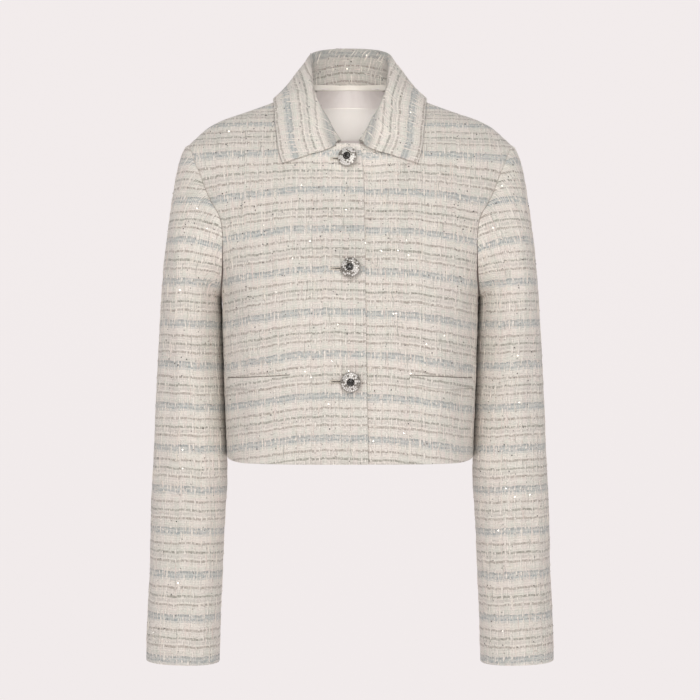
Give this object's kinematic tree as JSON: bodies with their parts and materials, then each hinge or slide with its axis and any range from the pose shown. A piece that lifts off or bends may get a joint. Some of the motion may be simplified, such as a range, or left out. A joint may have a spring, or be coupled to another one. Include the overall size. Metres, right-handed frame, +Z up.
{
  "type": "cropped tweed jacket",
  "caption": "Cropped cream tweed jacket with blue-grey stripes, a turned-down collar, welt pockets and domed silver buttons, hollow as worn.",
  "frame": {"origin": "middle of the neck opening, level with the inner ends of the shoulder seams, where the wearer's neck holds the jacket", "axes": "+Z up towards the collar, -Y out of the front, +X to the wearer's left"},
  "size_m": [0.4654, 0.2514, 0.7118],
  "materials": {
    "tweed": "boucle weave",
    "satin": "satin",
    "tape": "matte",
    "label": "satin",
    "silver": "polished",
    "dark_stone": "polished"
  },
  "bodies": {
    "root": {"front_right": "tweed", "front_left": "tweed", "back": "tweed", "top_sleeve_right": "tweed", "top_sleeve_left": "tweed", "under_sleeve_right": "tweed", "under_sleeve_left": "tweed", "collar": "tweed", "welt_right": "tweed", "welt_left": "tweed", "neck_tape": "tape", "neck_lining": "satin", "neck_label": "label", "button_1": "silver", "button_2": "silver", "button_3": "silver", "stone_1": "dark_stone", "stone_2": "dark_stone", "stone_3": "dark_stone"}
  },
  "joints": []
}
